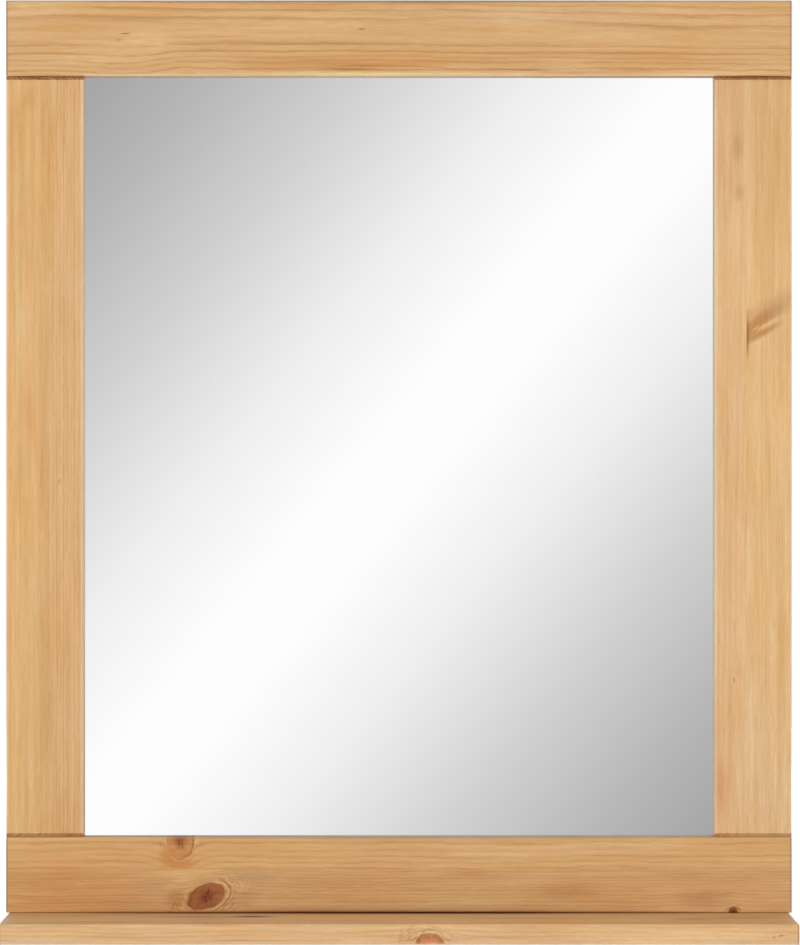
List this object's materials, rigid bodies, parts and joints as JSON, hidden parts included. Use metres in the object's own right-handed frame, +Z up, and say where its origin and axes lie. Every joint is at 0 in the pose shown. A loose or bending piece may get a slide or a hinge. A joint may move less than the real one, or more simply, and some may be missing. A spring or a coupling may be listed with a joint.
{
  "type": "wall mirror with shelf",
  "caption": "Rectangular wall mirror in a solid pine frame with a shelf board along its bottom edge, hung from keyhole plates let into the back.",
  "frame": {"origin": "midway between the two hanging points, in the wall plane, level with the shanks of the wall screws", "axes": "+X to the right seen from the front, +Y towards the wall, +Z up"},
  "size_m": [0.7, 0.12, 0.8311],
  "materials": {
    "pine": "oiled",
    "beech": "bare",
    "silvered_glass": "polished",
    "hardboard": "bare",
    "zinc_plate": "zinc plated"
  },
  "bodies": {
    "root": {"top_rail": "pine", "bottom_rail": "pine", "left_stile": "pine", "right_stile": "pine", "shelf_board": "pine", "mirror_pane": "silvered_glass", "back_panel": "hardboard", "dowel_top_left_outer": "beech", "dowel_top_left_inner": "beech", "dowel_top_right_outer": "beech", "dowel_top_right_inner": "beech", "dowel_bottom_left_outer": "beech", "dowel_bottom_left_inner": "beech", "dowel_bottom_right_outer": "beech", "dowel_bottom_right_inner": "beech", "shelf_dowel_left": "beech", "shelf_dowel_right": "beech", "shelf_screw_1": "zinc_plate", "shelf_screw_2": "zinc_plate", "shelf_screw_3": "zinc_plate", "shelf_screw_4": "zinc_plate", "hanger_plate_left": "zinc_plate", "hanger_plate_right": "zinc_plate", "hanger_screw_left_1": "zinc_plate", "hanger_screw_left_2": "zinc_plate", "hanger_screw_right_1": "zinc_plate", "hanger_screw_right_2": "zinc_plate", "glazing_point_01": "zinc_plate", "glazing_point_02": "zinc_plate", "glazing_point_03": "zinc_plate", "glazing_point_04": "zinc_plate", "glazing_point_05": "zinc_plate", "glazing_point_06": "zinc_plate", "glazing_point_07": "zinc_plate", "glazing_point_08": "zinc_plate", "glazing_point_09": "zinc_plate", "glazing_point_10": "zinc_plate"}
  },
  "joints": []
}
